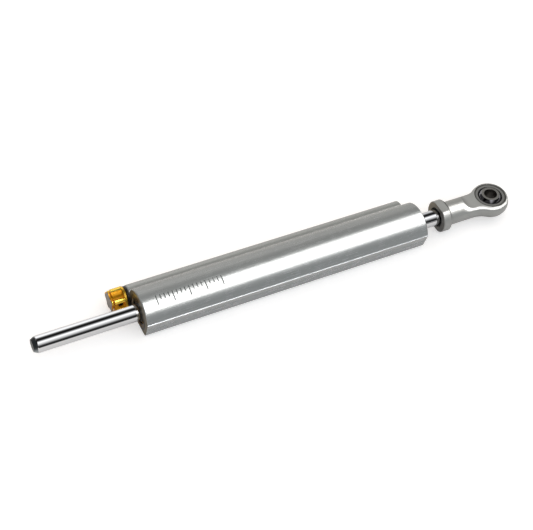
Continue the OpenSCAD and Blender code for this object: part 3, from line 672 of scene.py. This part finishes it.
marks = place_group(tree, handling, Place=place, Amount=0.4)
orange_peel = noise(tree, place, scale=1600.0, detail=3.0)
rough = raised(tree, PLATING_ROUGHNESS, marks["Smudges"], by=0.04)
rough = raised(tree, rough, orange_peel, by=0.10)
feed(tree, shader, Roughness=rough)
height = maths(tree, "SUBTRACT", z, eye_centre.z)
near_rim = remap(tree, maths(tree, "ABSOLUTE", height), RIM_FROM, RIM_FULL)
rim = product(
    tree,
    maths(tree, "POWER", near_rim, RIM_POWER),
    remap(tree, x, eye_centre.x + RIM_STARTS, eye_centre.x + RIM_RISEN, 0.0, RIM_LIFT),
    maths(tree, "SIGN", height),
    remap(tree, y, BACK_FROM, BACK_FULL, 1.0, RIM_LEFT_AT_BACK),
    remap(tree, x, eye_centre.x + RIM_FALLS, eye_centre.x + RIM_FALLEN, 1.0, RIM_LEFT_AT_FAR_END))
edge_radius = remap(tree, y, 0.0, BACK_ROUNDING_Y, FRONT_ROUNDING, BACK_ROUNDING)
relief = maths(tree, "SUBTRACT", orange_peel, marks["Scratches"])
bump(tree, shader, relief, depth=0.000006, rounding=edge_radius, lift=rim)
finish(plated, "rod_end_housing")

# %% [markdown]
# The race is a turned steel ring pressed into the eye. A fine dark groove runs
# round it near its outer edge. Its axis is upright, so the rings are turned from
# X to Z.

# %% Race finish
UPRIGHT = (0, math.pi / 2, 0)
RACE_COLOUR = (0.31, 0.30, 0.285)
GROOVE_COLOUR = (0.085, 0.08, 0.072)
GROOVE_INSET = 0.0004
GROOVE_INNER = 0.0003
GROOVE_OUTER = 0.0006

race, tree, shader, place = start("turned_race_steel", (0.30, 0.295, 0.28), metallic=0.35, roughness=0.32)
rings = turned_about(tree, place, eye_centre, rings_per_metre=5000.0, turned=UPRIGHT)
race_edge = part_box("rod_end_race")[1].y - eye_centre.y
groove = band(tree, rings["Radius"], race_edge - GROOVE_INSET, GROOVE_INNER, GROOVE_OUTER)
toned = mix_colours(tree, groove, RACE_COLOUR, GROOVE_COLOUR)
feed(tree, shader, Base_Color=toned, Roughness=spread(tree, rings["Rings"], 0.24, 0.34))
bump(tree, shader, rings["Rings"], depth=0.000003, rounding=0.0002)
finish(race, "rod_end_race")

# %% [markdown]
# The ball is polished steel, with flat faces that are only turned and a bore that is rougher and painted
# darker, as painted shade. The distance from the bolt's axis tells the three apart.

# %% Ball finish
BALL_COLOUR = (0.27, 0.265, 0.285)
BALL_FACE_COLOUR = (0.29, 0.275, 0.255)
# Painted shade: the bolt's bore is painted dark.
BOLT_BORE_PAINTED_SHADE = (0.13, 0.12, 0.11)
BOLT_BORE_RADIUS = 0.00415
BALL_FACE_RADIUS = 0.0056
BALL_POLISH = 0.04

ball, tree, shader, place = start(
    "polished_ball_steel", (0.38, 0.365, 0.355), metallic=1.0, roughness=0.12)
rings = turned_about(tree, place, eye_centre, rings_per_metre=5000.0, turned=UPRIGHT)
marks = place_group(tree, handling, Place=place, Amount=0.2)
# The bore is rougher and painted dark, as painted shade.
bore = below(tree, rings["Radius"], BOLT_BORE_RADIUS)
face = product(tree, below(tree, rings["Radius"], BALL_FACE_RADIUS), opposite(tree, bore))
toned = painted(
    tree, mix_colours(tree, face, BALL_COLOUR, BALL_FACE_COLOUR),
    (bore, BOLT_BORE_PAINTED_SHADE))
rough = raised(tree, BALL_POLISH, marks["Smudges"], by=0.04)
rough = raised(tree, rough, bore, by=0.3)
rough = raised(tree, rough, face, by=0.15)
metal = raised(tree, 1.0, face, by=-0.6)
feed(tree, shader, Base_Color=toned, Metallic=metal, Roughness=rough)
relief = maths(tree, "SUBTRACT", rings["Rings"], marks["Scratches"])
bump(tree, shader, relief, depth=0.000001, rounding=0.0003)
finish(ball, "rod_end_ball")

# %% [markdown]
# The other turned pieces share one recipe with their own colour and axis: rings
# in the roughness and the bump, smudges in the colour, and fine scratches.

# %% Turned pieces
SMUDGED_SHARE = 0.8
SMOOTHEST_SHARE = 0.85
ROUGHEST_SHARE = 1.2


def turned_metal(name, colour, roughness, axis, metallic=1.0, depth=0.000004):
    material, tree, shader, place = start(name, colour, metallic, roughness)
    rings = turned_about(tree, place, axis, rings_per_metre=5000.0)
    marks = place_group(tree, handling, Place=place, Amount=0.4)
    smudged = [SMUDGED_SHARE * channel for channel in colour]
    toned = mix_colours(tree, marks["Smudges"], colour, smudged)
    rough = spread(tree, rings["Rings"], roughness * SMOOTHEST_SHARE, roughness * ROUGHEST_SHARE)
    feed(tree, shader, Base_Color=toned, Roughness=rough)
    relief = maths(tree, "SUBTRACT", rings["Rings"], marks["Scratches"])
    bump(tree, shader, relief, depth, rounding=0.0001)
    return material


finish(turned_metal("dull_gold_head", (0.34, 0.20, 0.065), roughness=0.34, axis=rod_axis, metallic=0.4),
       "seal_head_adjuster_end", "seal_head_rod_end")
finish(turned_metal("turned_aluminium", (0.52, 0.52, 0.53), roughness=0.30, axis=rod_axis),
       "stop_sleeve_adjuster_end", "stop_sleeve_rod_end", "piston")
finish(turned_metal("bearing_bronze", (0.50, 0.30, 0.16), roughness=0.28, axis=rod_axis),
       "rod_bush_adjuster_end", "rod_bush_rod_end")
finish(turned_metal("turned_aluminium_small", (0.52, 0.52, 0.53), roughness=0.30, axis=side_axis),
       "compensator_piston")
finish(turned_metal("turned_brass", (0.62, 0.46, 0.18), roughness=0.25, axis=side_axis),
       "needle_valve", "valve_seat")
finish(turned_metal("turned_steel", (0.34, 0.34, 0.35), roughness=0.30, axis=side_axis),
       "adjuster_spindle", "needle_key_pins", "reservoir_plug", "port_plugs")
finish(turned_metal("click_ball_steel", (0.5, 0.49, 0.48), roughness=0.10, axis=side_axis, depth=0.000001),
       "click_ball")
finish(turned_metal("black_oxide_steel", (0.05, 0.05, 0.055), roughness=0.32, axis=side_axis),
       "knob_grub_screw")
gland = turned_metal("black_anodised_gland", (0.024, 0.021, 0.018), roughness=0.34, axis=side_axis,
                     metallic=0.2)
finish(gland, "adjuster_gland")

# %% [markdown]
# The knob is machined aluminium, bright cut and anodised gold. A clear, dyed layer over metal is a metal with
# a saturated colour and a thin coat. Its flutes are rougher and painted a darker orange, as painted shade,
# and its outer face is bare where the dye was cut away.

# %% Knob finish
GOLD_LIGHT = (0.98, 0.69, 0.09)
GOLD_DEEP = (0.94, 0.60, 0.06)
# Painted shade: the flutes are painted a darker orange.
FLUTE_PAINTED_SHADE = (0.84, 0.37, 0.008)
BARE_COLOUR = (0.24, 0.215, 0.19)
FLUTE_FULL = 0.0061
FLUTE_END = 0.0066

gold, tree, shader, place = start(
    "gold_anodised_knob", (0.95, 0.62, 0.10), metallic=0.85, roughness=0.20,
    Coat_Weight=0.2, Coat_Roughness=0.12)
x = coordinates(tree, place)[0]
rings = turned_about(tree, place, side_axis, rings_per_metre=4200.0)
marks = place_group(tree, handling, Place=place, Amount=0.5)
bare = below(tree, x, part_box("adjuster_knob")[0].x + ON_FACE)
# The flutes are rougher, and painted darker as painted shade.
flute = remap(tree, rings["Radius"], FLUTE_FULL, FLUTE_END, 1.0, 0.0)
toned = painted(
    tree, mix_colours(tree, marks["Smudges"], GOLD_LIGHT, GOLD_DEEP),
    (flute, FLUTE_PAINTED_SHADE),
    (bare, BARE_COLOUR))
rough = raised(tree, spread(tree, rings["Rings"], 0.18, 0.25), flute, by=0.2)
feed(tree, shader, Base_Color=toned, Roughness=rough)
relief = maths(tree, "SUBTRACT", rings["Rings"], marks["Scratches"])
bump(tree, shader, relief, depth=0.0000008, rounding=0.0003)
finish(gold, "adjuster_knob")

# %% [markdown]
# Rubber and filled polymers are matt and dark, with a fine mottle in the colour,
# the roughness and the relief.

# %% Seals and bands
MOTTLE_SHARE = 1.5
MOTTLE_ROUGHNESS = 0.08


def matt(name, colour, roughness, mottles_per_metre, depth):
    material, tree, shader, place = start(name, colour, 0.0, roughness)
    mottle = noise(tree, place, mottles_per_metre, detail=4.0)
    lighter = [MOTTLE_SHARE * channel for channel in colour]
    toned = mix_colours(tree, mottle, colour, lighter)
    rough = spread(tree, mottle, roughness - MOTTLE_ROUGHNESS, roughness + MOTTLE_ROUGHNESS)
    feed(tree, shader, Base_Color=toned, Roughness=rough)
    bump(tree, shader, mottle, depth)
    return material


rubber_names = [name for name in nodes if "ring_seal" in name or "wiper" in name]
rubber = matt("black_rubber", (0.020, 0.017, 0.014), roughness=0.5, mottles_per_metre=2500.0, depth=0.00001)
blue = matt("blue_grey_polymer", (0.05, 0.08, 0.13), roughness=0.45, mottles_per_metre=2000.0, depth=0.00001)
green = matt("green_band_polymer", (0.07, 0.11, 0.09), roughness=0.5, mottles_per_metre=2000.0, depth=0.00001)
weave = matt("dark_liner_weave", (0.02, 0.02, 0.022), roughness=0.6, mottles_per_metre=6000.0, depth=0.00002)
finish(rubber, *rubber_names, "piston_band_expander")
finish(blue, "rod_seal_adjuster_end", "rod_seal_rod_end")
finish(green, "piston_band")
finish(weave, "rod_end_liner")

# %% [markdown]
# Stamped snap rings and coiled springs are oiled spring steel, with the lines of
# rolling and drawing on it.

# %% Spring steel
SPRING_DARK = (0.22, 0.21, 0.20)
SPRING_LIGHT = (0.32, 0.31, 0.30)

spring, tree, shader, place = start("oiled_spring_steel", (0.27, 0.26, 0.25), metallic=1.0, roughness=0.35)
lines = place_group(tree, grain, Place=place, Lines_per_metre=6000.0, Length_ratio=8.0)
toned = mix_colours(tree, lines["Cloud"], SPRING_DARK, SPRING_LIGHT)
feed(tree, shader, Base_Color=toned, Roughness=spread(tree, lines["Grain"], 0.28, 0.42))
finish(spring, *[name for name in nodes if "snap_ring" in name or "spring" in name])

# %% [markdown]
# The compensator's spring is squeezed as its piston moves. A stiff solid would cut into the piston, so a
# smooth copy of the solid takes its place and the solid is hidden. The solid's triangles are loose, so their
# corners are merged first.

# %% Copy of the spring
MERGE_WITHIN = 0.000001

spring_low, spring_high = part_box("compensator_spring")
joined = bmesh.new()
joined.from_mesh(nodes["compensator_spring"].data)
bmesh.ops.remove_doubles(joined, verts=joined.verts, dist=MERGE_WITHIN)
for face in joined.faces:
    face.smooth = True
squeezed_mesh = bpy.data.meshes.new("squeezed_spring")
joined.to_mesh(squeezed_mesh)
joined.free()
squeezed_spring = bpy.data.objects.new("squeezed_spring", squeezed_mesh)
bpy.context.scene.collection.objects.link(squeezed_spring)
squeezed_mesh.materials.append(spring)
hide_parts("compensator_spring")
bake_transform(squeezed_spring)
spring_length = spring_high.x - spring_low.x
print("spring", round(spring_length * 1000, 2), "mm long,", len(squeezed_mesh.polygons), "faces")
print("nodes without a finish:", [name for name in nodes if name not in finished])

# %% [markdown]
# The floor is a plain white sheet. It scatters light like paper, so it takes the
# damper's soft shadow, and a glow that the camera sees lifts the rest to pure
# white. Gloss sees a faint glow too, but the floor in front is dim to it, as the
# floor of a dark room is.

# %% Floor
FLOOR_SIZE = 6.0
PAPER = (0.82, 0.78, 0.765)
DIM_PAPER = (0.1, 0.1, 0.1)
DIM_FULL = -0.16
DIM_END = -0.045
GLOSS_GLOW = 0.05
CAMERA_GLOW = 0.45

bpy.ops.mesh.primitive_plane_add(size=FLOOR_SIZE, location=(0, 0, cad_low.z))
floor = bpy.context.object
floor.name = "floor"
paper = bpy.data.materials.new("white_paper")
paper.use_nodes = True
tree = paper.node_tree
tree.nodes.remove(tree.nodes["Principled BSDF"])
ray = tree.nodes.new("ShaderNodeLightPath").outputs
forward = coordinates(tree, tree.nodes.new("ShaderNodeTexCoord").outputs["Object"])[1]
dim = product(tree, ray["Is Glossy Ray"], remap(tree, forward, DIM_FULL, DIM_END, 1.0, 0.0))
scatter = add(tree, "ShaderNodeBsdfDiffuse", {"Color": mix_colours(tree, dim, PAPER, DIM_PAPER)})
lit_gloss = product(tree, ray["Is Glossy Ray"], opposite(tree, dim))
strength = raised(tree, product(tree, ray["Is Camera Ray"], CAMERA_GLOW), lit_gloss, GLOSS_GLOW)
glow = add(tree, "ShaderNodeEmission", {"Strength": strength})
both = add(tree, "ShaderNodeAddShader", {0: scatter.outputs[0], 1: glow.outputs[0]})
tree.links.new(both.outputs[0], tree.nodes["Material Output"].inputs["Surface"])
floor.data.materials.append(paper)
print("the floor lies at", round(cad_low.z * 1000, 2), "mm")

# %% [markdown]
# Metal shows what stands round it, so the studio matters more than the lamps. The
# world is a set of long panels that run nearly along X, each given by its angle
# about X in degrees and its brightness. They go from the white wall behind, past a
# dark gap overhead and the front panel, to a dark room in front. Their angle also
# shifts along X, because the damper stood a little askew in its room.

# %% Studio panels
PANELS = [
    (-90, 0.6), (-8, 0.82), (4, 0.89), (12, 1.0), (28, 1.24), (36, 1.20), (44, 0.82), (52, 0.26),
    (60, 0.06), (68, 0.014), (76, 0.008), (84, 0.014), (91, 0.045), (100, 0.44), (108, 1.08), (116, 1.35),
    (124, 1.05), (132, 0.84), (140, 0.62), (148, 0.33), (156, 0.09), (163, 0.025), (184, 0.02), (190, 0.5),
    (270, 0.6)]
SKEW = math.radians(45)
SKEW_FROM = -0.3
SKEW_TO = 0.6
SKEW_MIDDLE = 0.19
BRIGHTEST = 2.0
RAMP_START = -90
FULL_TURN = 360

world = bpy.data.worlds.new("studio")
bpy.context.scene.world = world
world.use_nodes = True
tree = world.node_tree
x, y, z = coordinates(tree, tree.nodes.new("ShaderNodeTexCoord").outputs["Generated"])
sideways = maths(tree, "MINIMUM", maths(tree, "MAXIMUM", x, SKEW_FROM), SKEW_TO)
sideways = maths(tree, "SUBTRACT", sideways, SKEW_MIDDLE)
about_x = raised(tree, maths(tree, "ARCTAN2", z, y), sideways, SKEW)
about_x = maths(tree, "WRAP", about_x, math.radians(RAMP_START + FULL_TURN), math.radians(RAMP_START))
turned_share = raised(tree, -RAMP_START / FULL_TURN, about_x, by=1 / math.radians(FULL_TURN))
greys = [((degrees - RAMP_START) / FULL_TURN, 3 * [brightness / BRIGHTEST]) for degrees, brightness in PANELS]
panels = colour_ramp(tree, turned_share, greys)
print("studio panels:", len(PANELS))

# %% [markdown]
# Only gloss sees the panels. They fade out to the left, and the wall behind is
# dimmer to the right. Dull surfaces get an even, plain light, a little cooler and
# stronger from the front, and the camera sees white.

# %% Studio light
WALL_DIMMING = 0.47
WALL_DIMS_FROM = 0.15
WALL_DIMMED = 0.50
WALL_UP_TO = 1.0
LEFT_DARK = -0.50
LEFT_LIT = -0.15
LEFT_LEVEL = 0.08
EVEN_FROM = -0.7
EVEN_TO = 0.2
EVEN_FRONT = (1.0, 1.10, 1.17)
EVEN_REAR = (0.77, 0.75, 0.70)
WHITE = (1, 1, 1)

on_wall = product(tree, remap(tree, x, WALL_DIMS_FROM, WALL_DIMMED), below(tree, about_x, WALL_UP_TO))
fading = product(tree, raised(tree, BRIGHTEST, on_wall, by=-WALL_DIMMING * BRIGHTEST),
                 remap(tree, x, LEFT_DARK, LEFT_LIT, LEFT_LEVEL, 1.0))
gloss_sees = add(tree, "ShaderNodeVectorMath", {0: panels, 3: fading}, operation="SCALE").outputs[0]
ray = tree.nodes.new("ShaderNodeLightPath").outputs
even = mix_colours(tree, remap(tree, y, EVEN_FROM, EVEN_TO), EVEN_FRONT, EVEN_REAR)
seen = painted(tree, even, (ray["Is Camera Ray"], WHITE), (ray["Is Glossy Ray"], gloss_sees))
tree.links.new(seen, tree.nodes["Background"].inputs["Color"])
bpy.context.scene.view_settings.view_transform = "Standard"
print("the world has", len(tree.nodes), "nodes")

# %% [markdown]
# The satin pieces show one broad soft highlight, and the knob a narrow one. A
# world that gave both would spoil the chrome, so two long softboxes are linked to
# these pieces alone. Each hangs above the front and faces the damper's middle.

# %% Softboxes
SOFTBOX_DISTANCE = 2.5
SOFTBOX_TO_RIGHT = 0.32
SOFTBOX_LENGTH = 6.0


def softbox(name, radiance, about_x, turned_by, across, receivers):
    about_x = math.radians(about_x)
    turned_by = math.radians(turned_by)
    round_x = math.sqrt(1 - SOFTBOX_TO_RIGHT ** 2)
    outwards = Vector((SOFTBOX_TO_RIGHT, round_x * math.cos(about_x), round_x * math.sin(about_x)))
    forwards = Vector((0, -math.sin(about_x), math.cos(about_x)))
    lengthwise = forwards.cross(outwards).normalized()
    forwards = outwards.cross(lengthwise)
    side = math.cos(turned_by) * lengthwise + math.sin(turned_by) * forwards
    lamp = bpy.data.lights.new(name, "AREA")
    lamp.shape = "RECTANGLE"
    lamp.size = SOFTBOX_LENGTH
    lamp.size_y = across
    lamp.energy = radiance * math.pi * SOFTBOX_LENGTH * across
    holder = bpy.data.objects.new(name, lamp)
    facing = Matrix((side, outwards.cross(side), outwards)).transposed()
    holder.matrix_world = Matrix.Translation(outwards * SOFTBOX_DISTANCE) @ facing.to_4x4()
    holder.visible_camera = False
    holder.visible_diffuse = False
    bpy.context.scene.collection.objects.link(holder)
    linked = bpy.data.collections.new(name + "_receivers")
    for receiver in receivers:
        linked.objects.link(nodes[receiver])
    holder.light_linking.receiver_collection = linked
    print(name, "gives", round(lamp.energy, 2), "W")


softbox("knob_softbox", radiance=7.0, about_x=149.0, turned_by=0.0, across=0.34,
        receivers=["adjuster_knob"])
softbox("satin_softbox", radiance=9.0, about_x=111.7, turned_by=29.5, across=2.04,
        receivers=["damper_body", "rod_end_housing"])
